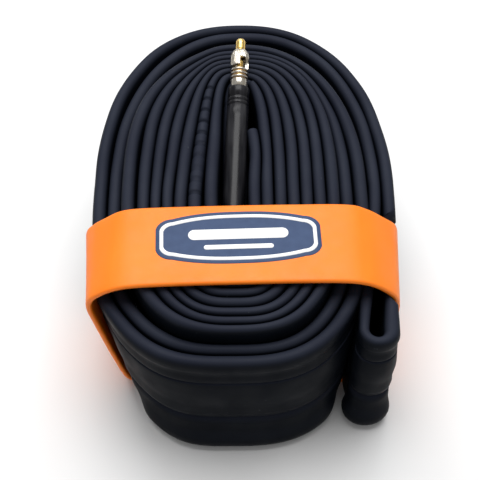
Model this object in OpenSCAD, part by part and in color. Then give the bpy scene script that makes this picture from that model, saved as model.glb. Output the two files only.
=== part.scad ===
// Bicycle inner tube with a pin valve, pressed flat, doubled and rolled up,
// held by an elastic band with a badge. Millimetres, +Z up.
// X runs across the coil and Y along it, the valve points to +Y,
// and the origin is under the middle of the coil, on the surface it lies on.

/* [Coil] */
// Height of the flattened tube standing on edge
tube_height = 46; // [42:1:48]
// Lift of the inner turns above the outer turn
inner_lift = 6; // [5:0.5:6.5]
// Gap between neighbouring strands
strand_gap = 0.55; // [0.45:0.05:0.6]
// Thickness of the butyl wall
tube_wall = 0.8; // [0.6:0.05:0.85]
// Inside width of the open fold that ends the winding
fold_gap = 3.7; // [2:0.1:4]
// Exponent of the turns' rounded outline, 2 is an ellipse
turn_shape = 2.3; // [2.1:0.05:2.5]
// Points in each turn
turn_points = 32; // [28:4:40]

/* [Valve] */
// Length from the foot flange to the tip of the pin
valve_length = 72; // [70:0.5:73]
// Rise of the valve above the horizontal, in degrees
valve_tilt = 15.6; // [14.5:0.1:16.5]
// Turn of the valve from +Y towards +X, in degrees
valve_yaw = 2.3; // [1:0.05:2.5]
// Diameter of the stem
stem_d = 6.2; // [5.8:0.1:6.4]
// Diameter over the cap thread
cap_thread_d = 5.2; // [5:0.05:5.3]
// Number of rings of the cap thread
cap_rings = 3; // [3:1:4]
// Diameter of the lock nut
nut_d = 5.2; // [4.8:0.1:5.2]
// Number of knurls round the lock nut
nut_knurls = 24; // [16:2:28]
// Height of the window in the nut's skirt
window_height = 2.6; // [1.8:0.1:2.8]
// How far the pin goes in to let air out
pin_travel = 0.7; // [0.4:0.1:0.7]

/* [Band] */
// Width of the band along Y
band_width = 24.5; // [22:0.5:26]
// Middle of the band along Y
band_y = -28.75; // [-30:0.25:-28]
// Thickness of the band
band_wall = 1.6; // [1.4:0.1:1.6]
// Half of the band's outside width
band_half = 43.2; // [43.2:0.1:44]
// Height of the band's flat top
band_top = 54.2; // [54:0.1:55]

/* [Badge] */
// Length of the badge across the band
badge_length = 43; // [38:0.5:44]
// Width of the badge along Y
badge_width = 16.3; // [14:0.1:18]
// Depth to which the badge is moulded into the band
badge_inlay = 0.5; // [0.4:0.05:0.6]
// Width of the badge's white border
border_width = 1; // [0.7:0.05:1.2]

/* [Hidden] */

$fn = 64;
eps = 0.01;

// Turn number u counts from 0 where the innermost turn crosses +X. Each end of
// a turn moves outwards by its own growth for every whole turn.
right_first = 0.8;
right_growth = 7.45;
left_first = 8.2;
left_growth = 6.55;
near_first = 32.6;
near_growth = 5.65;
far_first = 24.5;
far_growth = 5.2;
// Inner turns are squarer than outer ones.
square_first = 3.7;
square_loss = (square_first - turn_shape) / 5;
// The last turn stands off the block at the far end.
loose_far = 7.8;
loose_from = 4.2;
loose_to = 4.75;
thin_pitch = 2.6;
// The open fold is fatter than the strip that leads to it.
fold_bulge = 1.15;
// The winding starts a little before turn 0, and ends on a bowed tail.
step = 1 / turn_points;
first_turn = -round(turn_points / 9) * step;
step_turn = 4;
clear_turn = 1.25 + 0.25 * step;
last_turn = 5;
tail_points = 8;
tail_end = [34.9, -46.2];
end_turn = last_turn + (tail_points + 0.5) * step;

// Undersides: the outer turn stands on the surface, except over the band.
band_sink = 2;
notch_y = band_y + band_width / 2 + 0.5;
top_of_block = tube_height + inner_lift;
lumen_floor = 3;
// Larger than the whole object, for cuts that run out of it.
beyond = 80;

function smooth(t) =
    let (s = min(1, max(0, t)))
    s * s * (3 - 2 * s);
function rounded(v, n) = sign(v) * pow(abs(v), 2 / n);

// Centre line of the doubled strip at the angle of turn u, for a turn of size w.
function turn_at(u, w, loose) =
    let (
        n = square_first - square_loss * w,
        across = rounded(cos(360 * u), n),
        along = -rounded(sin(360 * u), n),
        right = right_first + right_growth * w,
        left = -left_first - left_growth * w,
        far = far_first + far_growth * w + loose,
        near = -near_first - near_growth * w
    )
    [
        (right + left) / 2 + across * (right - left) / 2,
        (far + near) / 2 + along * (far - near) / 2
    ];
function loose_at(u) = loose_far * smooth((u - loose_from) / (loose_to - loose_from));
function tail_share(u) = (u - last_turn) / (end_turn - last_turn);
function tail_at(u) =
    let (s = tail_share(u), from = turn_at(last_turn, last_turn, loose_far))
    [from.x + (tail_end.x - from.x) * s * s, from.y + (tail_end.y - from.y) * s];
function centre(u) = u > last_turn ? tail_at(u) : turn_at(u, u, loose_at(u));

function unit(v) = v / norm(v);
function heading(u) =
    unit(centre(u + step / 4) - centre(u - step / 4));
// Outward side of a clockwise winding.
function outward(u) = let (h = heading(u)) [-h.y, h.x];
// Half the distance from one turn to the next, square to the strip.
function half_pitch(u) =
    let (
        t = min(last_turn, u),
        growth = turn_at(t, t + 0.5, 0) - turn_at(t, t - 0.5, 0)
    )
    max(thin_pitch, abs(outward(t) * growth) / 2);
function fold_share(u) = smooth((tail_share(u) - 0.45) / 0.5);
// Half widths of the doubled strip: its outside, and the slit between strands.
function outside(u) = half_pitch(u) - strand_gap / 2 + fold_share(u) * fold_bulge;
function inside(u) =
    strand_gap / 2 + fold_share(u) * (fold_gap - strand_gap) / 2;

// Points beside the strip from turn number a to b, at a distance on one side.
function stations(a, b) = [for (i = [0 : round((b - a) / step)]) a + i * step];
function edge(a, b, way, inset) =
    [for (u = stations(a, b)) centre(u) + way * (outside(u) - inset) * outward(u)];
function slit(a, b, way, inset) =
    [for (u = stations(a, b)) centre(u) + way * (inside(u) + inset) * outward(u)];
function reversed(list) = [for (i = [len(list) - 1 : -1 : 0]) list[i]];
// Points round a folded end, from the outward side to the inward side.
function fold(u, r, way, count) =
    let (o = outward(u), h = heading(u))
    [for (i = [1 : count - 1])
        let (a = 180 * i / count)
        centre(u) + r * (cos(a) * o + way * sin(a) * h)];

// Doubled strip from turn number a, folded there, to an open end at b.
module start_hairpin(a, b, inset) {
    polygon(concat(
        reversed(edge(a, b, 1, inset)),
        fold(a, outside(a) - inset, -1, 10),
        edge(a, b, -1, inset),
        reversed(slit(a, b, -1, inset)),
        reversed(fold(a, inside(a) + inset, -1, 4)),
        slit(a, b, 1, inset)));
}

// Doubled strip from an open end at turn number a to b, folded there.
module end_hairpin(a, b, inset) {
    polygon(concat(
        edge(a, b, 1, inset),
        fold(b, outside(b) - inset, 1, 12),
        reversed(edge(a, b, -1, inset)),
        slit(a, b, -1, inset),
        reversed(fold(b, inside(b) + inset, 1, 8)),
        reversed(slit(a, b, 1, inset))));
}

// One strand of the doubled strip, open at both ends.
module open_strand(way, a, b, inset) {
    polygon(concat(edge(a, b, way, inset), reversed(slit(a, b, way, inset))));
}

module inner_block(end, z0, z1, inset) {
    translate([0, 0, z0])
        linear_extrude(z1 - z0) start_hairpin(first_turn, end, inset);
}

// The part of the inner turns that the valve doesn't touch.
module clear_of_valve(end, z0, z1, inset) {
    translate([0, 0, z0])
        linear_extrude(z1 - z0) {
            open_strand(1, clear_turn, end, inset);
            open_strand(-1, clear_turn, end, inset);
        }
}

module outer_turn(start, z0, z1, inset) {
    translate([0, 0, z0])
        linear_extrude(z1 - z0) end_hairpin(start, end_turn, inset);
}

// Stations along the valve, from the foot flange towards the tip of the pin.
valve_tip = [-0.35, 40.5, 57.5];
valve_way = [
    cos(valve_tilt) * sin(valve_yaw),
    cos(valve_tilt) * cos(valve_yaw),
    sin(valve_tilt)
];
valve_foot = valve_tip - valve_length * valve_way;
tip_length = 3.3;
nut_length = 5.7;
core_top = valve_length - tip_length - nut_length - pin_travel - 0.1;
thread_length = 3.5;
thread_depth = 0.3;
collar_length = 2.4;
stem_top = core_top - thread_length - collar_length;
core_bottom = stem_top - 14;
collar_d = 4.8;
flange_d = 9;
flange_thick = 1.2;
foot_depth = 2;
foot_hole_d = 2.5;
stem_bore_d = 3;
stem_grooves = [3.4, 4.7, 5.9];
running = 0.05;
pin_d = 1.6;
tip_d = 2.8;
core_d = 4.1;
air_way_d = 2.6;
guide_length = 5;
seal_length = 1.6;
head_length = 1.2;
seal_d = 3.4;
head_d = 3;
gasket_place = core_bottom + 3;
gasket_width = 2;
gasket_thick = 0.4;
// Room between a part of the valve and the strand that it presses into.
valve_room = 0.2;
// Room round the cap thread for a cap or a pump head.
cap_room = 1.1;

module on_valve(s) {
    translate(valve_foot)
        rotate([0, 0, -valve_yaw])
            rotate([valve_tilt - 90, 0, 0])
                translate([0, 0, s])
                    children();
}

// Trough of half width r, open upwards, along a stretch of the valve.
module trough(s, length, r) {
    height = 24;
    arc = [for (a = [0 : 22.5 : 180]) [r * cos(a), r * sin(a)]];
    on_valve(s)
        linear_extrude(length)
            polygon(concat([[r, -height]], arc, [[-r, -height]]));
}

module air_tube() {
    seam = 0.05;
    shallow = valve_foot.z - flange_d / 2 - 1;
    color([0.22, 0.23, 0.26])
        difference() {
            union() {
                inner_block(step_turn, inner_lift, top_of_block, 0);
                outer_turn(step_turn - 3.5 * step, 0, tube_height, seam);
            }
            // The band passes under the near part.
            translate([-beyond, -beyond, -1])
                cube([2 * beyond, beyond + notch_y, band_sink + 1]);
            // Air space inside the wall, lower where the valve lies on the strands.
            inner_block(step_turn - step, inner_lift + tube_wall, shallow, tube_wall);
            clear_of_valve(step_turn - 1.75 * step, shallow - 1,
                top_of_block - tube_wall, tube_wall + seam);
            outer_turn(step_turn - 2.5 * step, lumen_floor,
                tube_height - tube_wall, tube_wall + 2 * seam);
            trough(-foot_depth, foot_depth + flange_thick + valve_room,
                flange_d / 2 + valve_room);
            trough(-foot_depth, valve_length, stem_d / 2 + valve_room);
            trough(core_top - thread_length - valve_room, thread_length + nut_length,
                cap_thread_d / 2 + cap_room);
        }
}

// Rubber pad bonded under the flange, round the valve hole.
module valve_patch() {
    color([0.16, 0.16, 0.18])
        on_valve(-foot_depth)
            difference() {
                cylinder(h = foot_depth, d = flange_d);
                translate([0, 0, -1]) cylinder(h = foot_depth + 2, d = foot_hole_d);
            }
}

module valve_stem() {
    groove = 0.35;
    color([0.1, 0.1, 0.11])
        on_valve(0)
            difference() {
                union() {
                    cylinder(h = flange_thick, d = flange_d);
                    cylinder(h = stem_top, d = stem_d);
                }
                translate([0, 0, -1])
                    cylinder(h = core_bottom - head_length - seal_length, d = stem_bore_d);
                translate([0, 0, core_bottom - head_length - seal_length - 3])
                    cylinder(h = valve_length, d = core_d + 2 * running);
                for (s = stem_grooves)
                    translate([0, 0, stem_top - s])
                        difference() {
                            cylinder(h = groove, d = stem_d + 2);
                            translate([0, 0, -1]) cylinder(h = 3, d = stem_d - groove);
                        }
            }
}

// Profile of the core: barrel with a gasket groove, collar and cap thread.
module core_profile() {
    r = core_d / 2;
    ring = thread_length / cap_rings;
    rings = [for (i = [0 : cap_rings - 1])
        let (s = core_top - thread_length + i * ring)
        each [
            [cap_thread_d / 2 - thread_depth, s],
            [cap_thread_d / 2 - thread_depth, s + ring * 0.3],
            [cap_thread_d / 2, s + ring * 0.45],
            [cap_thread_d / 2, s + ring]
        ]];
    polygon(concat(
        [
            [air_way_d / 2, core_bottom], [r, core_bottom],
            [r, gasket_place], [r - gasket_thick, gasket_place],
            [r - gasket_thick, gasket_place + gasket_width],
            [r, gasket_place + gasket_width],
            [r, stem_top + eps], [collar_d / 2, stem_top + eps],
            [collar_d / 2, core_top - thread_length]
        ],
        rings,
        [
            [pin_d / 2 + running, core_top],
            [pin_d / 2 + running, core_top - guide_length],
            [air_way_d / 2, core_top - guide_length]
        ]));
}

module core_body() {
    color([0.8, 0.79, 0.76]) on_valve(0) rotate_extrude() core_profile();
}

module core_seal() {
    color([0.12, 0.12, 0.13])
        on_valve(gasket_place)
            difference() {
                cylinder(h = gasket_width, d = core_d);
                translate([0, 0, -1])
                    cylinder(h = gasket_width + 2, d = core_d - 2 * gasket_thick);
            }
}

module valve_pin() {
    shaft_bottom = core_bottom - seal_length - head_length;
    color([0.83, 0.66, 0.32]) {
        on_valve(shaft_bottom)
            cylinder(h = valve_length - tip_length - shaft_bottom + eps, d = pin_d);
        on_valve(valve_length - tip_length)
            rotate_extrude()
                polygon([
                    [0, 0], [tip_d / 2, 0], [tip_d / 2, tip_length - 0.5],
                    [tip_d / 2 - 0.5, tip_length], [0, tip_length]
                ]);
    }
}

// Rubber washer against the bottom of the core.
module pin_seal() {
    color([0.12, 0.12, 0.13])
        on_valve(core_bottom - seal_length)
            difference() {
                cylinder(h = seal_length - eps, d = seal_d);
                translate([0, 0, -1]) cylinder(h = seal_length + 2, d = pin_d);
            }
}

module pin_head() {
    color([0.83, 0.66, 0.32])
        on_valve(core_bottom - seal_length - head_length)
            difference() {
                cylinder(h = head_length, d = head_d);
                translate([0, 0, -1]) cylinder(h = head_length + 2, d = pin_d);
            }
}

module lock_nut() {
    r = nut_d / 2;
    knurl = 0.18;
    window_width = 4.6;
    bottom = valve_length - tip_length - nut_length;
    teeth = [for (i = [0 : 2 * nut_knurls - 1])
        let (a = 180 * i / nut_knurls, q = i % 2 == 0 ? r : r - knurl)
        [q * cos(a), q * sin(a)]];
    color([0.82, 0.81, 0.79])
        on_valve(bottom)
            difference() {
                intersection() {
                    linear_extrude(nut_length) polygon(teeth);
                    rotate_extrude()
                        polygon([
                            [0, 0], [r - 0.2, 0], [r + 0.1, 0.3],
                            [r + 0.1, nut_length * 0.6], [r - 0.3, nut_length * 0.8],
                            [r - 0.7, nut_length * 0.94], [1.5, nut_length - eps],
                            [0, nut_length - eps]
                        ]);
                }
                translate([0, 0, -1])
                    cylinder(h = nut_length + 2, d = pin_d + 2 * running);
                // Window that shows the pin.
                translate([0.2, -window_width + 0.6, -1])
                    cube([window_width, window_width, window_height + 1]);
            }
}

// Corner arcs: points of a closed outline with its corners rounded.
function round_corner(before, at, after, r) =
    let (
        p = unit(before - at),
        q = unit(after - at),
        half = acos(p * q) / 2,
        reach = r / tan(half),
        middle = at + unit(p + q) * r / sin(half),
        start = at + p * reach - middle,
        end = at + q * reach - middle,
        turn = 180 - 2 * half,
        way = start.x * end.y - start.y * end.x > 0 ? 1 : -1
    )
    [for (i = [0 : 6])
        let (a = way * turn * i / 6)
        middle + [
            start.x * cos(a) - start.y * sin(a),
            start.x * sin(a) + start.y * cos(a)
        ]];
function rounded_outline(points, radii) =
    let (n = len(points))
    [for (i = [0 : n - 1])
        each round_corner(points[(i + n - 1) % n], points[i], points[(i + 1) % n], radii[i])];

// Section of the band across X and Z: a rounded box with slanted shoulders.
shoulder_width = 7.5;
shoulder_drop = 7.5;
band_radii = [3, 3, 6, 6, 6, 6];
module band_section(inset) {
    x = band_half - inset;
    z = band_top - inset;
    grow = inset * tan(22.5);
    polygon(rounded_outline(
        [
            [-x, inset], [x, inset],
            [x, z - shoulder_drop + grow], [x - shoulder_width + grow, z],
            [-x + shoulder_width - grow, z], [-x, z - shoulder_drop + grow]
        ],
        [for (r = band_radii) r - inset]));
}

module band() {
    color([1, 0.62, 0.25])
        difference() {
            translate([0, band_y + band_width / 2, 0])
                rotate([90, 0, 0])
                    linear_extrude(band_width)
                        difference() {
                            band_section(0);
                            band_section(band_wall);
                        }
            badge_part(badge_length, badge_width, badge_inlay);
        }
}

// Barrel outline: straight ends and bowed long sides.
module badge_outline(length, width) {
    bow = 2.6;
    count = 16;
    sides = [for (way = [1, -1], i = [0 : count])
        let (t = 2 * i / count - 1)
        [way * -t * length / 2, way * (width / 2 - bow * t * t)]];
    polygon(sides);
}

badge_x = -1;
badge_y = -27.1;
border_inset = 1;
// Middle, length and width of each bar.
bars = [[0, 1, 26, 3.2], [0, -3, 18, 1.4]];
module badge_part(length, width, depth) {
    translate([badge_x, badge_y, band_top - depth])
        linear_extrude(depth + eps)
            badge_outline(length, width);
}

module badge_border() {
    outer = [badge_length, badge_width] - 2 * [border_inset, border_inset];
    inner = outer - 2 * [border_width, border_width];
    color("white")
        difference() {
            badge_part(outer.x, outer.y, badge_inlay / 2);
            badge_part(inner.x, inner.y, 1);
        }
}

module badge_bars() {
    color("white")
        for (bar = bars)
            translate([badge_x + bar.x - bar[2] / 2, badge_y + bar.y - bar[3] / 2,
                band_top - badge_inlay / 2])
                cube([bar[2], bar[3], badge_inlay / 2 + eps]);
}

module badge_ground() {
    color([0.27, 0.33, 0.49])
        difference() {
            badge_part(badge_length, badge_width, badge_inlay);
            badge_border();
            badge_bars();
        }
}

air_tube();
valve_patch();
valve_stem();
core_body();
core_seal();
valve_pin();
pin_seal();
pin_head();
lock_nut();
band();
badge_ground();
badge_border();
badge_bars();
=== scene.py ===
"""A bicycle inner tube, pressed flat, doubled and rolled up, held by an orange band."""
import math

import bmesh
import bpy
from mathutils import Matrix, Vector, noise


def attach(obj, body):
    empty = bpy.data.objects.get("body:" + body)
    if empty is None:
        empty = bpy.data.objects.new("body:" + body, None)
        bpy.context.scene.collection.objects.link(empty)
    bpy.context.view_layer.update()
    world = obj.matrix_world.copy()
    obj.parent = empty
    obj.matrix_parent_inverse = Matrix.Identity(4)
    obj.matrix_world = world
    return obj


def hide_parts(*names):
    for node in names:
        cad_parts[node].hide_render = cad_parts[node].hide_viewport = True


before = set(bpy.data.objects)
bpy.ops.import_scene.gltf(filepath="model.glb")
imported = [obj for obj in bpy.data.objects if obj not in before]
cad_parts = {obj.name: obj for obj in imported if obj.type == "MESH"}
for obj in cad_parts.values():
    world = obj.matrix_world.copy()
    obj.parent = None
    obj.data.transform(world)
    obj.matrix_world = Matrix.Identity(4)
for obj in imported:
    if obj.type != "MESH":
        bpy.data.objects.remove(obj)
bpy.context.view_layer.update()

MM = 0.001


# ---------------------------------------------------------------- numbers
# All lengths here are in millimetres; meshes are scaled to metres when made.

# Where the strands cross each side of the coil, from the innermost outwards.
RIGHT = [-0.2, 3.1, 6.9, 10.2, 13.9, 17.4, 20.9, 24.5, 28.4, 32.5, 36.7, 40.4]
LEFT = [3.8, 8.6, 13.0, 17.0, 20.4, 23.4, 26.7, 30.9, 35.1, 39.2]
NEAR = [33.6, 36.3, 39.3, 42.0, 44.6, 47.7, 49.9, 52.2, 54.9, 58.4]
FAR = [30.4, 32.4, 34.4, 36.3, 38.2, 40.0, 41.9, 44.2, 46.1, 48.9]
FAR_LOOSE = 9.0
# How square the outer turns' corners are: near right, near left, far left, far right.
OUTER_CORNERS = [2.75, 2.95, 2.3, 2.3]

FIRST_TURN = -0.043
LAST_TURN = 5.0
FOLD_CENTRE = (34.55, -49.0)
FOLD_RADIUS = 3.55
# Half widths of the open fold's inner side, its bend and its outer side.
FOLD_HALVES = (1.4, 1.3, 2.15)
FOLD_DROP = 0.3

TUBE_HEIGHT = 46.0
BLOCK_TOP = 52.3
BLOCK_FALL = 0.12
BLOCK_LIFT = 6.0
WIDEST_HALF = 1.95
# Radius of a strand's lower edge.
FOOT_RADIUS = 3.2
STATIONS_PER_TURN = 2000
STATION_GAP = 0.5

# The valve's axis, and stations along it from the foot flange to the tip.
VALVE_TIP = Vector((-0.35, 40.5, 57.5))
VALVE_TILT = math.radians(15.6)
VALVE_YAW = math.radians(2.3)
VALVE_LENGTH = 72.0
STEM_RADIUS = 3.1
PIN_TIP = 3.3
NUT_LENGTH = 5.7
CORE_TOP = 62.2
THREAD_LENGTH = 3.5
COLLAR_LENGTH = 2.4
STEM_TOP = CORE_TOP - THREAD_LENGTH - COLLAR_LENGTH

# Edges of the band, as closed loops of x and z seen from the near side.
BAND_THICK = 1.55
BAND_NEAR_Y = -41.0
BAND_FAR_Y = -16.5
BAND_SKEW = 0.03
BAND_NEAR = [
    (0, 0), (14, 0), (28, 0.1), (35.0, 0.6), (38.3, 4.5), (40.0, 15), (41.0, 26),
    (41.5, 34), (41.4, 40), (40.4, 44.5), (37.2, 48.6), (32.5, 52.0), (26, 53.6),
    (14, 54.1), (0, 54.2), (-14, 54.2), (-27, 53.8), (-33, 52.4), (-37.2, 49.8),
    (-39.8, 46.8), (-40.5, 42.5), (-39.4, 35), (-37.5, 24), (-35.8, 14), (-34.5, 6.5),
    (-32.6, 1.6), (-26, 0.1), (-12, 0),
]
BAND_FAR = [
    (0, 0), (14, 0), (28, 0), (36.5, 0.4), (40.6, 3), (42.4, 9), (42.9, 19),
    (42.9, 29), (42.8, 38), (41.8, 43.6), (38.0, 47.4), (33.6, 51.0), (28, 53.4),
    (14, 54.0), (0, 54.2), (-14, 54.2), (-27, 53.9), (-32.5, 52.8), (-36.6, 50.0),
    (-40.0, 47.2), (-42.3, 43.5), (-42.7, 35), (-42.7, 25), (-42.5, 14), (-41.2, 5),
    (-36.5, 0.8), (-26, 0), (-12, 0),
]

BADGE_CENTRE = (-1.0, -27.1)
BADGE_TURN = math.radians(2.2)
BADGE_LENGTH = 43.0
BADGE_WIDTH = 16.3


# ---------------------------------------------------------------- helpers
def smooth(t):
    t = min(1.0, max(0.0, t))
    return t * t * (3 - 2 * t)


def hump(z, centre, width):
    return math.exp(-((z - centre) / width) ** 2)


def crossing(row, j):
    """A smooth curve through the numbers of row, straight beyond its ends."""
    last = len(row) - 1
    if j <= 0:
        return row[0] + j * (row[1] - row[0])
    if j >= last:
        return row[last] + (j - last) * (row[last] - row[last - 1])
    i = int(j)
    t = j - i
    p1, p2 = row[i], row[i + 1]
    p0 = row[i - 1] if i > 0 else 2 * p1 - p2
    p3 = row[i + 2] if i + 2 <= last else 2 * p2 - p1
    return 0.5 * (
        2 * p1 + (p2 - p0) * t
        + (2 * p0 - 5 * p1 + 4 * p2 - p3) * t * t
        + (3 * p1 - p0 - 3 * p2 + p3) * t ** 3
    )


def power(v, n):
    return math.copysign(abs(v) ** (2 / n), v)


def closed_curve(points, count):
    """count points of a smooth closed curve through the given ones."""
    n = len(points)
    out = []
    for k in range(count):
        j = k * n / count
        i = int(j)
        t = j - i
        p0, p1, p2, p3 = (Vector(points[(i + d) % n]) for d in (-1, 0, 1, 2))
        out.append(0.5 * (
            2 * p1 + (p2 - p0) * t
            + (2 * p0 - 5 * p1 + 4 * p2 - p3) * t * t
            + (3 * p1 - p0 - 3 * p2 + p3) * t ** 3
        ))
    return out


def make_object(name, vertices, faces, materials):
    """A mesh object from millimetre vertices; faces may name a material index."""
    mesh = bpy.data.meshes.new(name)
    plain = [f[0] if isinstance(f[0], (tuple, list)) else f for f in faces]
    mesh.from_pydata([Vector(v) * MM for v in vertices], [], plain)
    for material in materials:
        mesh.materials.append(material)
    for polygon, face in zip(mesh.polygons, faces):
        polygon.use_smooth = True
        if isinstance(face[0], (tuple, list)):
            polygon.material_index = face[1]
    mesh.validate()
    obj = bpy.data.objects.new(name, mesh)
    bpy.context.scene.collection.objects.link(obj)
    return obj


# ---------------------------------------------------------------- materials
def new_material(name):
    material = bpy.data.materials.new(name)
    material.use_nodes = True
    tree = material.node_tree
    return material, tree, tree.nodes["Principled BSDF"]


def add_noise(tree, scale, detail=4.0, stretch=None):
    """A noise texture in object space, with scale in features per metre."""
    coord = tree.nodes.new("ShaderNodeTexCoord")
    noise_node = tree.nodes.new("ShaderNodeTexNoise")
    noise_node.inputs["Scale"].default_value = scale
    noise_node.inputs["Detail"].default_value = detail
    source = coord.outputs["Object"]
    if stretch:
        mapping = tree.nodes.new("ShaderNodeMapping")
        mapping.inputs["Scale"].default_value = stretch
        tree.links.new(source, mapping.inputs["Vector"])
        source = mapping.outputs["Vector"]
    tree.links.new(source, noise_node.inputs["Vector"])
    return noise_node.outputs["Fac"]


def add_ramp(tree, source, stops):
    """A colour ramp; stops are (place, colour)."""
    ramp = tree.nodes.new("ShaderNodeValToRGB")
    elements = ramp.color_ramp.elements
    while len(elements) < len(stops):
        elements.new(0.5)
    for element, (place, colour) in zip(elements, stops):
        element.position = place
        element.color = (*colour, 1) if len(colour) == 3 else colour
    tree.links.new(source, ramp.inputs["Fac"])
    return ramp.outputs["Color"]


def add_range(tree, source, low, high, from_low=0.0, from_high=1.0):
    node = tree.nodes.new("ShaderNodeMapRange")
    node.inputs["From Min"].default_value = from_low
    node.inputs["From Max"].default_value = from_high
    node.inputs["To Min"].default_value = low
    node.inputs["To Max"].default_value = high
    tree.links.new(source, node.inputs["Value"])
    return node.outputs["Result"]


def add_bump(tree, shader, height, strength, distance):
    bump = tree.nodes.new("ShaderNodeBump")
    bump.inputs["Strength"].default_value = strength
    bump.inputs["Distance"].default_value = distance
    tree.links.new(height, bump.inputs["Height"])
    tree.links.new(bump.outputs["Normal"], shader.inputs["Normal"])
    return bump


def add_mix(tree, factor, first, second):
    mix = tree.nodes.new("ShaderNodeMix")
    mix.data_type = "RGBA"
    tree.links.new(factor, mix.inputs["Factor"])
    for value, name in ((first, "A"), (second, "B")):
        socket = [s for s in mix.inputs if s.name == name and s.type == "RGBA"][0]
        if isinstance(value, tuple):
            socket.default_value = (*value, 1)
        else:
            tree.links.new(value, socket)
    return [s for s in mix.outputs if s.type == "RGBA"][0]


def facing_up(tree, low, high):
    """0 on steep faces, 1 on level ones: where dust settles, and where the butyl's painted light
    falls.
    """
    geometry = tree.nodes.new("ShaderNodeNewGeometry")
    parts = tree.nodes.new("ShaderNodeSeparateXYZ")
    tree.links.new(geometry.outputs["Normal"], parts.inputs["Vector"])
    return add_range(tree, parts.outputs["Z"], 0.0, 1.0, low, high)


def butyl_material():
    """Dull black butyl, with cloudy traces of talc and a few pale specks; level faces are painted
    lighter and steep faces darker, partly for talc and partly as painted light and shade.
    """
    material, tree, shader = new_material("butyl")
    clouds = add_noise(tree, 55, 6)
    bare_and_shaded = add_ramp(tree, clouds, [
        (0.3, (0.0024, 0.0034, 0.0058)), (0.75, (0.0042, 0.0056, 0.0088))])
    dusty_and_lit = add_ramp(tree, clouds, [
        (0.3, (0.0170, 0.0195, 0.0310)), (0.75, (0.0245, 0.0285, 0.0420))])
    # Level faces take the lighter ramp and steep faces the darker: partly talc on the level faces,
    # partly painted light on the tops and painted shade on the sides.
    base = add_mix(tree, facing_up(tree, 0.15, 0.95), bare_and_shaded, dusty_and_lit)
    specks = add_noise(tree, 900, 2)
    dust = add_range(tree, specks, 0.0, 0.55, 0.74, 0.80)
    tree.links.new(add_mix(tree, dust, base, (0.09, 0.10, 0.11)), shader.inputs["Base Color"])
    patches = add_noise(tree, 130, 5)
    tree.links.new(add_range(tree, patches, 0.36, 0.56, 0.3, 0.7), shader.inputs["Roughness"])
    grain = add_noise(tree, 2600, 3)
    add_bump(tree, shader, grain, 0.16, 0.00012)
    shader.inputs["Specular IOR Level"].default_value = 0.035
    return material


def silicone_material():
    """Orange silicone: soft satin, lightly translucent, with a little dust."""
    material, tree, shader = new_material("orange_silicone")
    clouds = add_noise(tree, 60, 5)
    base = add_ramp(tree, clouds, [(0.3, (0.98, 0.205, 0.004)), (0.72, (1.0, 0.235, 0.008))])
    tree.links.new(base, shader.inputs["Base Color"])
    patches = add_noise(tree, 240, 4)
    tree.links.new(add_range(tree, patches, 0.44, 0.58, 0.3, 0.7), shader.inputs["Roughness"])
    grain = add_noise(tree, 3200, 3)
    add_bump(tree, shader, grain, 0.10, 0.0001)
    shader.inputs["Subsurface Weight"].default_value = 0.12
    shader.inputs["Subsurface Radius"].default_value = (1.0, 0.35, 0.08)
    shader.inputs["Subsurface Scale"].default_value = 0.0015
    shader.inputs["Specular IOR Level"].default_value = 0.4
    return material


def print_material(name, colour, fleck):
    """Moulded-in silicone print, slightly glossier than the band."""
    material, tree, shader = new_material(name)
    mottle = add_noise(tree, 420, 5)
    base = add_ramp(tree, mottle, [(0.3, colour), (0.75, fleck)])
    tree.links.new(base, shader.inputs["Base Color"])
    tree.links.new(add_range(tree, mottle, 0.36, 0.5), shader.inputs["Roughness"])
    grain = add_noise(tree, 2800, 3)
    add_bump(tree, shader, grain, 0.10, 0.0001)
    shader.inputs["Specular IOR Level"].default_value = 0.15
    return material


def nickel_material():
    """Bright nickel plate, faintly warm, with fine turning marks."""
    material, tree, shader = new_material("nickel")
    shader.inputs["Metallic"].default_value = 1.0
    stains = add_noise(tree, 900, 4)
    base = add_ramp(tree, stains, [(0.35, (0.70, 0.67, 0.61)), (0.7, (0.55, 0.48, 0.37))])
    tree.links.new(base, shader.inputs["Base Color"])
    tree.links.new(add_range(tree, stains, 0.16, 0.34), shader.inputs["Roughness"])
    marks = add_noise(tree, 1500, 3, stretch=(0.3, 3.0, 0.8))
    add_bump(tree, shader, marks, 0.12, 0.00006)
    return material


def brass_material(name, light, dark):
    """Turned brass, deeper in colour where it is worn or oxidised."""
    material, tree, shader = new_material(name)
    shader.inputs["Metallic"].default_value = 1.0
    stains = add_noise(tree, 1100, 4)
    base = add_ramp(tree, stains, [(0.35, light), (0.72, dark)])
    tree.links.new(base, shader.inputs["Base Color"])
    tree.links.new(add_range(tree, stains, 0.18, 0.38), shader.inputs["Roughness"])
    add_bump(tree, shader, add_noise(tree, 2400, 2), 0.10, 0.00005)
    return material


def stem_material():
    """Black satin lacquer on the stem, with fine lengthwise wear."""
    material, tree, shader = new_material("black_stem")
    wear = add_noise(tree, 700, 5, stretch=(1.0, 0.08, 0.25))
    base = add_ramp(tree, wear, [(0.45, (0.006, 0.006, 0.008)), (0.8, (0.03, 0.03, 0.034))])
    tree.links.new(base, shader.inputs["Base Color"])
    tree.links.new(add_range(tree, wear, 0.2, 0.36), shader.inputs["Roughness"])
    add_bump(tree, shader, wear, 0.08, 0.0001)
    shader.inputs["Specular IOR Level"].default_value = 0.25
    return material


def seal_material():
    material, tree, shader = new_material("seal_rubber")
    grain = add_noise(tree, 1800, 4)
    base = add_ramp(tree, grain, [(0.3, (0.012, 0.012, 0.012)), (0.8, (0.03, 0.03, 0.03))])
    tree.links.new(base, shader.inputs["Base Color"])
    shader.inputs["Roughness"].default_value = 0.7
    add_bump(tree, shader, grain, 0.2, 0.0001)
    return material


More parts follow.
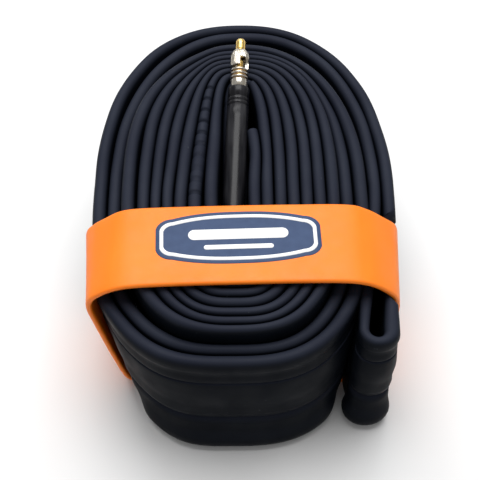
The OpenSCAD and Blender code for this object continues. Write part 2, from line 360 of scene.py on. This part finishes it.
def floor_material():
    material, tree, shader = new_material("floor")
    grain = add_noise(tree, 30, 3)
    base = add_ramp(tree, grain, [(0.3, (0.80, 0.80, 0.80)), (0.7, (0.82, 0.82, 0.82))])
    tree.links.new(base, shader.inputs["Base Color"])
    shader.inputs["Roughness"].default_value = 0.6
    return material


BUTYL = butyl_material()
SILICONE = silicone_material()
NAVY = print_material("badge_navy", (0.036, 0.062, 0.135), (0.048, 0.079, 0.162))
WHITE = print_material("badge_white", (0.86, 0.86, 0.86), (0.92, 0.92, 0.92))
NICKEL = nickel_material()
BRASS = brass_material("brass", (0.92, 0.66, 0.22), (0.80, 0.50, 0.13))
GROOVE = brass_material("worn_brass", (0.62, 0.42, 0.20), (0.40, 0.25, 0.11))
STEM = stem_material()
SEAL = seal_material()


# ---------------------------------------------------------------- the tube
def lean(x, y):
    """How far the inner strands left of the valve lean over towards it."""
    return 2.9 * hump(x, -16.0, 8.5) * smooth((y + 16) / 40)


def strand_xy(u, v):
    """Where a strand runs at turn u. v counts strands outwards: 2u or 2u + 1."""
    angle = 2 * math.pi * u
    n = 3.7 - 0.28 * min(5.0, max(0.0, v / 2))
    n += (OUTER_CORNERS[int(4 * (u % 1.0))] - n) * smooth((v - 6.5) / 2.5)
    right = crossing(RIGHT, v)
    left = -crossing(LEFT, v - 1)
    near = -crossing(NEAR, v - 0.5)
    turns = u + (v - 2 * u) / 2
    far = crossing(FAR, v - 1.5) + FAR_LOOSE * smooth((turns - 4.3) / 0.55)
    across = power(math.cos(angle), n)
    along = -power(math.sin(angle), n)
    x = (right + left) / 2 + across * (right - left) / 2
    y = (far + near) / 2 + along * (far - near) / 2
    x += lean(x, y) * (1 - smooth(v - 8.5))
    x -= 1.4 * hump(y, -38.0, 7.0) * smooth((v - 7.5) / 2) * smooth((-x - 20) / 8)
    # The innermost strand bows away from the stem and comes back to it at its end.
    x += (0.9 * hump(y, 3.5, 7.0) - 0.5 * smooth((y - 8) / 6)) * smooth((1.3 - v) / 0.3) * smooth(x)
    return Vector((x, y))


def valve_frame():
    """The matrix from the valve's own axes, along its z, to the object's."""
    way = Vector((
        math.cos(VALVE_TILT) * math.sin(VALVE_YAW),
        math.cos(VALVE_TILT) * math.cos(VALVE_YAW),
        math.sin(VALVE_TILT),
    ))
    turn = Matrix.Rotation(-VALVE_YAW, 4, "Z") @ Matrix.Rotation(VALVE_TILT - math.pi / 2, 4, "X")
    return Matrix.Translation(VALVE_TIP - VALVE_LENGTH * way) @ turn


VALVE = valve_frame()


def under_valve(x, y):
    """How high a strand may reach at x, y without touching the valve."""
    share = (y - VALVE.translation.y) / (VALVE_TIP.y - VALVE.translation.y)
    if not -0.04 < share < 1.02:
        return 99.0
    axis = VALVE.translation.lerp(VALVE_TIP, share)
    clear = 3.35 if share < 0.76 else 3.0
    return axis.z - clear / math.cos(VALVE_TILT) + 6.0 * max(0.0, abs(x - axis.x) - 3.2)


def resting(y):
    """Height of the outer turn's lower edge: it lies on the band where that passes under."""
    return 0.3 + 1.45 * smooth((-13.5 - y) / 5) * smooth((y + 46) / 3.5)


def tuck(x, y, z):
    """How far the band draws the coil's lower part sideways towards its near edge."""
    pull = min(1.0, max(0.0, (-16.5 - y) / 24.5))
    low = max(0.0, 1 - z / 45)
    left = (7.2 - 2.8 * smooth((-42 - y) / 6)) * low * smooth((-x - 5) / 28)
    right = 3.1 * low * low * smooth((x - 20) / 18) * smooth((y + 48) / 6)
    return pull * (left - right)


def strand_heights(x, y, u, v):
    """Bottom and top of a strand."""
    drop = smooth((u - 3.72) / 0.5)
    top = BLOCK_TOP - BLOCK_FALL * min(v, 8) - (BLOCK_TOP - BLOCK_FALL * 8 - TUBE_HEIGHT) * drop
    top += 0.22 * noise.noise(Vector((x / 16, y / 16, v * 3.1)))
    bottom = BLOCK_LIFT * (1 - drop) + resting(y) * drop
    # The strand beside the stem on its left is pressed down along with it.
    beside = smooth((1.62 - v) / 0.1) * smooth((v - 0.6) / 0.1) * smooth(-x)
    sunk = beside * smooth((y + 30) / 6)
    top = min(top, under_valve(x, y))
    return bottom, top + (min(top, under_valve(VALVE_TIP.x, y) - 0.5) - top) * sunk


class Station:
    """One cross-section of the tube: where it is and how it is shaped."""

    def __init__(self, xy, left, right, bottom, top, belly, crease=0.0):
        self.xy, self.left, self.right = xy, left, right
        self.bottom, self.top, self.belly, self.crease = bottom, top, belly, crease


def wrinkle(x, y, u, v):
    """Cross creases on one strand left of the valve."""
    if abs(u - 1.5) > 0.22 or abs(v - 2 * u) > 0.01:
        return 0.0
    fade = smooth((y + 14) / 4) * smooth((32 - y) / 5)
    return fade * max(0.0, math.cos(2 * math.pi * (y - 2) / 4.22)) ** 8


def strand_station(u, s, backwards):
    """The tube's section on the turns; s is 1 on the outer strand of the pair."""
    v = 2 * u + s
    here = strand_xy(u, v)
    step = 0.002
    heading = (strand_xy(u + step, v + 2 * step) - strand_xy(u - step, v - 2 * step)).normalized()
    outward = Vector((-heading.y, heading.x))
    out_gap = abs((strand_xy(u, v + 1) - here).dot(outward)) / 2
    in_gap = abs((here - strand_xy(u, v - 1)).dot(outward)) / 2
    out_half = min(out_gap, WIDEST_HALF) - 0.06
    in_half = min(in_gap, WIDEST_HALF) - 0.06
    bottom, top = strand_heights(here.x, here.y, u, v)
    here = here + outward * 0.14 * noise.noise(Vector((here.x / 13, here.y / 13, 7 + v)))
    belly = smooth((u - 4.0) / 0.12) if s == 1 else 0.0
    dip = wrinkle(here.x, here.y, u, v)
    if backwards:
        return Station(here, in_half, out_half, bottom, top, 0.0, dip)
    return Station(here, out_half, in_half, bottom, top, belly, dip)


def tail_station(t, side):
    """The tail between the last turn and the open fold; side is 1 outside."""
    start = strand_xy(LAST_TURN, 2 * LAST_TURN + (1 if side > 0 else 0))
    end = Vector(FOLD_CENTRE) + Vector((side * FOLD_RADIUS, 0))
    reach = (end - start).length
    lean = Vector((-0.055 if side > 0 else -0.10, -1.0)) * reach
    t2, t3 = t * t, t ** 3
    xy = (
        (2 * t3 - 3 * t2 + 1) * start + (t3 - 2 * t2 + t) * Vector((0, -1)) * reach
        + (3 * t2 - 2 * t3) * end + (t3 - t2) * lean
    )
    half = 1.75 + (FOLD_HALVES[1 + side] - 1.75) * smooth(t * 4 - 3)
    belly = 1.0 if side > 0 else 0.4 * t
    return Station(xy, half, half, resting(xy.y), TUBE_HEIGHT - FOLD_DROP * t, belly)


def tube_stations():
    """Every section of the closed tube, first along the outer strand."""
    points_per_turn = STATIONS_PER_TURN
    first, last = round(FIRST_TURN * points_per_turn), round(LAST_TURN * points_per_turn)
    outer = [strand_station(i / points_per_turn, 1, False) for i in range(first, last)]
    inner = [strand_station(i / points_per_turn, 0, True) for i in range(last - 1, first - 1, -1)]
    tail = 44
    out_tail = [tail_station(i / tail, 1) for i in range(tail)]
    in_tail = [tail_station(i / tail, -1) for i in range(tail, 0, -1)]
    fold = []
    steps = 30
    for i in range(steps + 1):
        a = math.pi * i / steps
        way = Vector((math.cos(a), -0.96 * math.sin(a)))
        xy = Vector(FOLD_CENTRE) + FOLD_RADIUS * way
        side = FOLD_HALVES[2] if math.cos(a) > 0 else FOLD_HALVES[0]
        half = FOLD_HALVES[1] + (side - FOLD_HALVES[1]) * math.cos(a) ** 2
        top = TUBE_HEIGHT - FOLD_DROP - 0.25 * math.sin(a)
        fold.append(Station(xy, half, half, resting(xy.y), top, 1.0))
    start = []
    a_side, b_side = outer[0], inner[-1]
    middle = (a_side.xy + b_side.xy) / 2
    arm = a_side.xy - middle
    for i in range(1, 14):
        a = math.pi * i / 14
        xy = middle + math.cos(-a) * arm + 1.3 * math.sin(a) * Vector((-arm.y, arm.x))
        start.append(Station(
            xy, 1.7, 1.7, BLOCK_LIFT,
            min(BLOCK_TOP - 0.5, under_valve(xy.x, xy.y)), 0.0))
    return outer + out_tail + fold + in_tail + inner + start[::-1]


def thinned(stations, least):
    """Drops stations that crowd, and keeps the spacing even."""
    kept = [stations[0]]
    for station in stations[1:]:
        if (station.xy - kept[-1].xy).length >= least:
            kept.append(station)
    if (kept[-1].xy - kept[0].xy).length < least:
        kept.pop()
    return kept


FACE_LEVELS = [
    0.085, 0.13, 0.18, 0.23, 0.28, 0.32, 0.336, 0.345, 0.354, 0.363, 0.372, 0.39, 0.43, 0.49,
    0.55, 0.61, 0.67, 0.73, 0.768, 0.776, 0.781, 0.785, 0.789, 0.794, 0.802, 0.825, 0.85, 0.875,
    0.90, 0.925,
]


def face_shape(z, y):
    """How far the outward face stands out at a height on the outer turn."""
    spread = -0.6 + 2.8 * smooth((-44 - y) / 8)
    return (
        0.75 * hump(z, 28.5, 6.5) + 0.25 * hump(z, 43.0, 2.5)
        - 0.42 * hump(z, 40.3, 1.5) - 0.9 * hump(z, 36.1, 0.26)
        - 2.2 * hump(z, 16.3, 0.7) + 0.55 * hump(z, 19.2, 2.0)
        + 0.45 * hump(z, 12.0, 4.0) + spread * hump(z, 4.0, 4.5)
    )


def section(station):
    """Offsets and heights round one section, anticlockwise from low left."""
    low, high = station.bottom, station.top
    height = high - low
    cap_left, cap_right = 1.15 * station.left, 1.15 * station.right
    ring = []
    for level in FACE_LEVELS:
        z = low + level * height
        stands_out = station.belly * face_shape(level * TUBE_HEIGHT, station.xy.y)
        ring.append((station.left + stands_out, z))
    caps = 9
    crown = high - station.crease * 1.7
    for i in range(1, caps):
        a = math.pi * i / caps
        half = station.left if math.cos(a) > 0 else station.right
        cap = max(cap_left, cap_right)
        ring.append((half * power(math.cos(a), 2.1), crown - cap + cap * power(math.sin(a), 2.2)))
    for level in (0.9, 0.78, 0.6, 0.4, 0.2, 0.1):
        ring.append((-station.right, low + level * height))
    low_left = station.left + station.belly * face_shape(FOOT_RADIUS, station.xy.y)
    for i in range(1, 7):
        a = math.pi + math.pi * i / 7
        half = low_left if math.cos(a) > 0 else station.right
        ring.append((half * power(math.cos(a), 2.4), low + FOOT_RADIUS + FOOT_RADIUS * math.sin(a)))
    return ring


def band_limits():
    """Where the band's inner faces stand at whole heights, for its near and far edges."""
    limits = []
    for loop in band_rows(BAND_THICK + 0.08):
        rows = []
        for z in range(2, 51):
            xs = []
            for a, b in zip(loop, loop[1:] + loop[:1]):
                if (a.y - z) * (b.y - z) <= 0 and a.y != b.y:
                    xs.append(a.x + (b.x - a.x) * (z - a.y) / (b.y - a.y))
            rows.append((min(xs), max(xs)))
        limits.append(rows)
    return limits


def held(x, y, z, limits):
    """Sideways place of a point of the tube once the band has closed on it."""
    level = min(47.999, max(0.0, z - 2))
    i, t = int(level), level % 1.0
    w = (y - BAND_SKEW * x - BAND_NEAR_Y) / (BAND_FAR_Y - BAND_NEAR_Y)
    slack = 1.3 * (BAND_FAR_Y - BAND_NEAR_Y) * max(0.0, -w, w - 1)
    w = min(1.0, max(0.0, w))
    ends = []
    for side in (0, 1):
        near = limits[0][i][side] * (1 - t) + limits[0][i + 1][side] * t
        far = limits[1][i][side] * (1 - t) + limits[1][i + 1][side] * t
        ends.append(near + (far - near) * w)
    return min(max(x, ends[0] - slack), ends[1] + slack)


def build_tube():
    stations = thinned(tube_stations(), STATION_GAP)
    limits = band_limits()
    count = len(stations)
    vertices, faces = [], []
    size = 0
    for k, station in enumerate(stations):
        before, after = stations[k - 1], stations[(k + 1) % count]
        heading = (after.xy - before.xy).normalized()
        left = Vector((-heading.y, heading.x))
        ring = section(station)
        size = len(ring)
        for offset, z in ring:
            p = station.xy + left * offset
            x = p.x + tuck(p.x, p.y, z)
            vertices.append((held(x, p.y, z, limits), p.y, z))
    for k in range(count):
        a, b = k * size, (k + 1) % count * size
        for i in range(size):
            j = (i + 1) % size
            faces.append((a + i, a + j, b + j, b + i))
    tube = make_object("rolled_tube", vertices, faces, [BUTYL])
    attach(tube, "root")
    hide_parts("air_tube")


# ---------------------------------------------------------------- the valve
def lathe(name, profile, segments, materials, radius_at=None):
    """A turned piece on the valve's axis; profile rows are (station, radius, material)."""
    vertices, faces = [], []
    for station, radius, *_ in profile:
        for i in range(segments):
            a = 2 * math.pi * i / segments
            r = radius_at(a, station, radius) if radius_at else radius
            vertices.append(VALVE @ Vector((r * math.cos(a), r * math.sin(a), station)))
    rows = len(profile)
    for k in range(rows - 1):
        index = profile[k][2] if len(profile[k]) > 2 else 0
        for i in range(segments):
            j = (i + 1) % segments
            a, b = k * segments, (k + 1) * segments
            faces.append(((a + i, a + j, b + j, b + i), index))
    faces.append((tuple(range(segments))[::-1], 0))
    faces.append((tuple((rows - 1) * segments + i for i in range(segments)), 0))
    return make_object(name, vertices, faces, materials)


def arc_rows(s0, r0, s1, r1, bulge, count):
    """Profile rows on a bowed line from (s0, r0) to (s1, r1)."""
    return [
        (s0 + (s1 - s0) * i / count,
         r0 + (r1 - r0) * i / count + bulge * math.sin(math.pi * i / count))
        for i in range(count + 1)
    ]


def build_stem():
    r = STEM_RADIUS
    profile = [(0.0, 4.5), (1.2, 4.5), (1.21, r)]
    profile += [(s, r) for s in (6.0, 16.0, 26.0, 36.0, 46.0)]
    for groove in (5.9, 4.7, 3.4):
        s = STEM_TOP - groove
        profile += [(s - 0.22, r), (s - 0.12, r - 0.16), (s + 0.12, r - 0.16), (s + 0.22, r)]
    profile += [(STEM_TOP - 0.45, r), (STEM_TOP - 0.15, r - 0.1), (STEM_TOP, r - 0.4),
                (STEM_TOP, 2.05), (STEM_TOP - 2, 2.05)]
    stem = lathe("black_stem", profile, 96, [STEM])
    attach(stem, "root")
    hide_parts("valve_stem")


def build_core():
    """The nickel core: smooth collar, then the rings of the cap thread."""
    base = STEM_TOP + 0.02
    profile = [(base - 14, 2.0), (base - 0.01, 2.0), (base, 2.2), (base + 0.15, 2.4),
               (base + 2.2, 2.42), (base + 2.6, 2.36), (base + COLLAR_LENGTH, 2.2, 1)]
    pitch = THREAD_LENGTH / 3
    for k in range(3):
        s = base + COLLAR_LENGTH + k * pitch
        profile += [(s + 0.06, 2.16, 1), (s + 0.28 * pitch, 2.18, 1), (s + 0.40 * pitch, 2.42),
                    (s + 0.52 * pitch, 2.58), (s + 0.66 * pitch, 2.6), (s + 0.80 * pitch, 2.55),
                    (s + 0.92 * pitch, 2.36, 1)]
    profile += [(CORE_TOP - 0.03, 2.2), (CORE_TOP, 1.9), (CORE_TOP, 0.9), (CORE_TOP - 3, 0.9)]
    core = lathe("valve_core", profile, 96, [NICKEL, GROOVE])
    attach(core, "core")
    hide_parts("core_body")


def build_pin():
    """The brass pin: its shank in the nut's window and its rounded tip."""
    s = VALVE_LENGTH - PIN_TIP
    profile = [(STEM_TOP - 18, 0.8), (CORE_TOP + 0.7, 0.8)]
    # The thread starts high enough to stay out of the core when the pin is pressed.
    for k in range(4):
        t = CORE_TOP + 0.88 + 0.52 * k
        profile += [(t, 0.82), (t + 0.14, 1.0), (t + 0.28, 1.0), (t + 0.42, 0.82)]
    profile += [(s - 0.3, 0.8), (s - 0.25, 1.15), (s + 0.1, 1.35), (s + 0.8, 1.4), (s + 1.2, 1.3),
                (s + 1.5, 1.38), (s + 2.4, 1.38), (s + 2.9, 1.28), (s + 3.25, 1.02),
                (s + 3.45, 0.6), (s + 3.5, 0.2)]
    pin = lathe("brass_pin", profile, 64, [BRASS])
    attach(pin, "pin")
    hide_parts("valve_pin")


def build_nut():
    """The knurled nut, with a window cut in its skirt."""
    bottom = VALVE_LENGTH - PIN_TIP - NUT_LENGTH
    knurls = 30

    def knurled(a, s, r):
        depth = 0.16 * smooth((s - bottom - 0.3) / 0.4) * smooth((bottom + 5.5 - s) / 1.2)
        phase = (a * knurls / (2 * math.pi) + 0.42 * (s - bottom)) % 1.0
        return r - depth * (1 - abs(2 * phase - 1)) ** 2 if r > 2.0 else r

    profile = [(bottom + 2.9, 0.95), (bottom + 2.9, 1.72), (bottom + 0.02, 1.75),
               (bottom, 1.85), (bottom, 2.4), (bottom + 0.15, 2.54)]
    profile += [(bottom + 0.3 + 0.3 * k, 2.58) for k in range(11)]
    profile += arc_rows(bottom + 3.5, 2.57, bottom + NUT_LENGTH - 0.1, 1.5, 0.24, 8)
    profile += [(bottom + NUT_LENGTH, 1.3), (bottom + NUT_LENGTH, 0.95)]
    nut = lathe("lock_nut_knurled", profile + [profile[0]], 208, [NICKEL, GROOVE], knurled)
    # A turned ring has no end caps: take off the two that the lathe adds.
    mesh = nut.data
    work = bmesh.new()
    work.from_mesh(mesh)
    work.faces.ensure_lookup_table()
    caps = [f for f in work.faces if len(f.verts) > 8]
    bmesh.ops.delete(work, geom=caps, context="FACES_ONLY")
    bmesh.ops.remove_doubles(work, verts=work.verts, dist=1e-7)
    bmesh.ops.recalc_face_normals(work, faces=work.faces)
    work.to_mesh(mesh)
    work.free()
    cutter_mesh = bpy.data.meshes.new("window_cutter")
    corners = [VALVE @ Vector((x, y, s)) * MM
               for s in (bottom - 1, bottom + 2.5) for y in (-4.0, 0.75) for x in (0.15, 4.0)]
    cutter_mesh.from_pydata(
        corners, [],
        [(2, 3, 1, 0), (5, 7, 6, 4), (1, 5, 4, 0), (6, 7, 3, 2), (4, 6, 2, 0), (3, 7, 5, 1)])
    cutter = bpy.data.objects.new("window_cutter", cutter_mesh)
    bpy.context.scene.collection.objects.link(cutter)
    cut = nut.modifiers.new("window", "BOOLEAN")
    cut.operation = "DIFFERENCE"
    cut.solver = "EXACT"
    cut.object = cutter
    bpy.context.view_layer.update()
    evaluated = nut.evaluated_get(bpy.context.evaluated_depsgraph_get())
    cut_mesh = bpy.data.meshes.new_from_object(evaluated)
    nut.modifiers.clear()
    nut.data = cut_mesh
    bpy.data.objects.remove(cutter)
    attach(nut, "nut")
    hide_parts("lock_nut")


# ---------------------------------------------------------------- the band
def band_rows(inset):
    """The near and far edge loops of the band, pulled in by inset."""
    count = 224
    loops = []
    for loop in (BAND_NEAR, BAND_FAR):
        curve = closed_curve(loop, count)
        pulled = []
        for k in range(count):
            along = (curve[(k + 1) % count] - curve[k - 1]).normalized()
            pulled.append(curve[k] - inset * Vector((along.y, -along.x)))
        loops.append(pulled)
    return loops


def band_point(outer, inner, k, w, depth):
    """A point of the band: w from the near edge to the far one, depth 0 outside."""
    near = outer[0][k].lerp(inner[0][k], depth)
    far = outer[1][k].lerp(inner[1][k], depth)
    xz = near.lerp(far, w)
    y = BAND_NEAR_Y + (BAND_FAR_Y - BAND_NEAR_Y) * w
    share = min(1.0, max(0.0, xz.y / 20))
    return Vector((xz.x, y + BAND_SKEW * xz.x * share, xz.y))


def build_band():
    outer, inner = band_rows(0.0), band_rows(BAND_THICK)
    count = len(outer[0])
    lip = BAND_THICK / 2
    width = BAND_FAR_Y - BAND_NEAR_Y
    cross = []
    for i in range(13):
        cross.append((lip / width + (1 - 2 * lip / width) * i / 12, 0.0))
    for i in range(1, 6):
        a = math.pi * i / 6
        cross.append((1 - lip / width + lip / width * math.sin(a), 0.5 - 0.5 * math.cos(a)))
    for i in range(13):
        cross.append((1 - lip / width - (1 - 2 * lip / width) * i / 12, 1.0))
    for i in range(1, 6):
        a = math.pi * i / 6
        cross.append((lip / width - lip / width * math.sin(a), 0.5 + 0.5 * math.cos(a)))
    size = len(cross)
    vertices, faces = [], []
    for k in range(count):
        for w, depth in cross:
            vertices.append(band_point(outer, inner, k, w, depth))
    for k in range(count):
        a, b = k * size, (k + 1) % count * size
        for i in range(size):
            j = (i + 1) % size
            faces.append((a + j, a + i, b + i, b + j))
    band = make_object("orange_band", vertices, faces, [SILICONE])
    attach(band, "band")
    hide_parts("band")


def band_top(x, y):
    """Height of the band's outer surface over x, y."""
    w = (y - BAND_SKEW * x - BAND_NEAR_Y) / (BAND_FAR_Y - BAND_NEAR_Y)
    loops = band_rows(0.0)
    best = None
    for k in range(len(loops[0])):
        p = loops[0][k].lerp(loops[1][k], w)
        if p.y > 40 and (best is None or abs(p.x - x) < abs(best.x - x)):
            best = p
    return best.y


def barrel(length, width, bow, corner, count=28):
    """Outline of the badge: short straight ends, bowed sides, round corners."""
    points = []
    for i in range(count + 1):
        t = 2 * i / count - 1
        x = -t * (length / 2 - corner)
        points.append((x, width / 2 - bow * abs(2 * x / length) ** 2.6))
    x0 = length / 2 - corner
    edge_y = width / 2 - bow * (2 * x0 / length) ** 2.6
    left_arc = []
    for i in range(1, 8):
        a = math.pi / 2 * i / 8
        left_arc.append((-x0 - corner * math.sin(a), edge_y - corner * 0.9 * (1 - math.cos(a))))
    upper = points + left_arc
    lower = [(x, -y) for x, y in reversed(upper)]
    right = [(-x, y) for x, y in reversed(left_arc)]
    right_low = [(x, -y) for x, y in reversed(right)]
    return upper + lower + right_low + right


def badge_to_world(x, y, lift, surface):
    c, s = math.cos(BADGE_TURN), math.sin(BADGE_TURN)
    px = BADGE_CENTRE[0] + c * x - s * y
    py = BADGE_CENTRE[1] + s * x + c * y
    return (px, py, surface(px, py) + lift)


def surface_table():
    """The band's top surface, sampled once and read between samples."""
    cells = {}

    def height(x, y):
        i, j = math.floor(x / 2), math.floor(y / 2)
        fx, fy = x / 2 - i, y / 2 - j
        total = 0.0
        for di, wx in ((0, 1 - fx), (1, fx)):
            for dj, wy in ((0, 1 - fy), (1, fy)):
                key = (i + di, j + dj)
                if key not in cells:
                    cells[key] = band_top(2.0 * key[0], 2.0 * key[1])
                total += wx * wy * cells[key]
        return total

    return height


def plate(name, rings, lifts, surface, material):
    """A thin raised plate through concentric outlines; its middle is left open."""
    vertices, faces = [], []
    size = len(rings[0])
    for ring, lift in zip(rings, lifts):
        vertices += [badge_to_world(x, y, lift, surface) for x, y in ring]
    for k in range(len(rings) - 1):
        for i in range(size):
            j = (i + 1) % size
            faces.append((k * size + i, k * size + j, (k + 1) * size + j, (k + 1) * size + i))
    return vertices, faces, size


def build_badge():
    surface = surface_table()
    bow, corner = 3.2, 4.3

    def outline(inset):
        return barrel(BADGE_LENGTH - 2 * inset, BADGE_WIDTH - 2 * inset,
                      bow * (1 - inset / 14), max(0.6, corner - inset * 0.8))

    # Ground: a low plate whose middle is filled by shrinking outlines.
    rings = [outline(0.0), outline(0.0), outline(0.12)]
    lifts = [-0.3, 0.02, 0.10]
    for share in (0.9, 0.8, 0.7, 0.6, 0.5, 0.4, 0.3, 0.2, 0.1, 0.02):
        rings.append([(x * share, y * share) for x, y in outline(0.12)])
        lifts.append(0.10)
    vertices, faces, size = plate("ground", rings, lifts, surface, NAVY)
    faces.append(tuple((len(rings) - 1) * size + i for i in range(size)))
    ground = make_object("badge_navy", vertices, faces, [NAVY])
    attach(ground, "band")
    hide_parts("badge_ground")

    # Border: a closed ring of four outlines.
    rings = [outline(1.0), outline(1.06), outline(2.0), outline(2.06), outline(1.0)]
    lifts = [0.02, 0.17, 0.17, 0.02, 0.02]
    vertices, faces, size = plate("border", rings, lifts, surface, WHITE)
    border = make_object("badge_white_ring", vertices, faces, [WHITE])
    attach(border, "band")
    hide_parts("badge_border")

    # Plain bars in place of lettering.
    vertices, faces = [], []
    for cx, cy, length, width in ((0, 1, 26, 3.2), (0, -3, 18, 1.4)):
        base = len(vertices)
        r = width / 2
        line = []
        for i in range(17):
            a = math.pi / 2 + math.pi * i / 16
            line.append((cx - length / 2 + r + r * math.cos(a), cy + r * math.sin(a)))
        for i in range(17):
            a = -math.pi / 2 + math.pi * i / 16
            line.append((cx + length / 2 - r + r * math.cos(a), cy + r * math.sin(a)))
        n = len(line)
        for inset, lift in ((0.0, 0.02), (0.0, 0.14), (0.06, 0.18)):
            for x, y in line:
                k = 1 - inset / r
                nearest = min(max(x, cx - length / 2 + r), cx + length / 2 - r)
                vertices.append(badge_to_world(
                    nearest + (x - nearest) * k, cy + (y - cy) * k, lift, surface))
        for k in range(2):
            for i in range(n):
                j = (i + 1) % n
                faces.append((base + k * n + i, base + k * n + j,
                              base + (k + 1) * n + j, base + (k + 1) * n + i))
        faces.append(tuple(base + 2 * n + i for i in range(n)))
        faces.append(tuple(base + n - 1 - i for i in range(n)))
    bars = make_object("badge_plain_bars", vertices, faces, [WHITE])
    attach(bars, "band")
    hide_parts("badge_bars")


# ---------------------------------------------------------------- the stage
def build_stage():
    bpy.ops.mesh.primitive_plane_add(size=3.0, location=(0, 0, 0))
    floor = bpy.context.active_object
    floor.name = "floor"
    floor.data.materials.append(floor_material())

    scene = bpy.context.scene
    world = bpy.data.worlds.new("studio")
    scene.world = world
    world.use_nodes = True
    world.node_tree.nodes["Background"].inputs["Color"].default_value = (1.0, 1.0, 1.0, 1)
    world.node_tree.nodes["Background"].inputs["Strength"].default_value = 0.38

    def softbox(name, place, aim, size, watts, colour=(1, 1, 1)):
        light = bpy.data.lights.new(name, "AREA")
        light.shape = "RECTANGLE"
        light.size, light.size_y = size
        light.energy = watts
        light.color = colour
        lamp = bpy.data.objects.new(name, light)
        lamp.location = place
        lamp.rotation_euler = (Vector(aim) - Vector(place)).to_track_quat("-Z", "Y").to_euler()
        scene.collection.objects.link(lamp)

    softbox("overhead", (0.0, 0.2, 0.9), (0, 0, 0.03), (0.8, 0.6), 8.0)
    softbox("behind", (-0.1, 0.8, 0.7), (0, 0, 0.04), (0.9, 0.4), 4)

    camera_data = bpy.data.cameras.new("camera")
    camera_data.lens = 82.8
    camera_data.sensor_width = 36
    camera = bpy.data.objects.new("camera", camera_data)
    camera.location = (-0.0006, -0.1905, 0.288)
    camera.rotation_euler = (math.radians(90 - 55.2), 0, 0)
    scene.collection.objects.link(camera)
    scene.camera = camera
    scene.view_settings.view_transform = "Standard"


def finish_hidden_nodes():
    """Materials for the CAD nodes that stay: the pad, seals and rivet cup."""
    for node, material in (("valve_patch", BUTYL), ("core_seal", SEAL),
                           ("pin_seal", SEAL), ("pin_head", BRASS)):
        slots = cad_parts[node].data.materials
        slots.clear()
        slots.append(material)


build_stage()
build_tube()
build_stem()
build_core()
build_pin()
build_nut()
build_band()
build_badge()
finish_hidden_nodes()
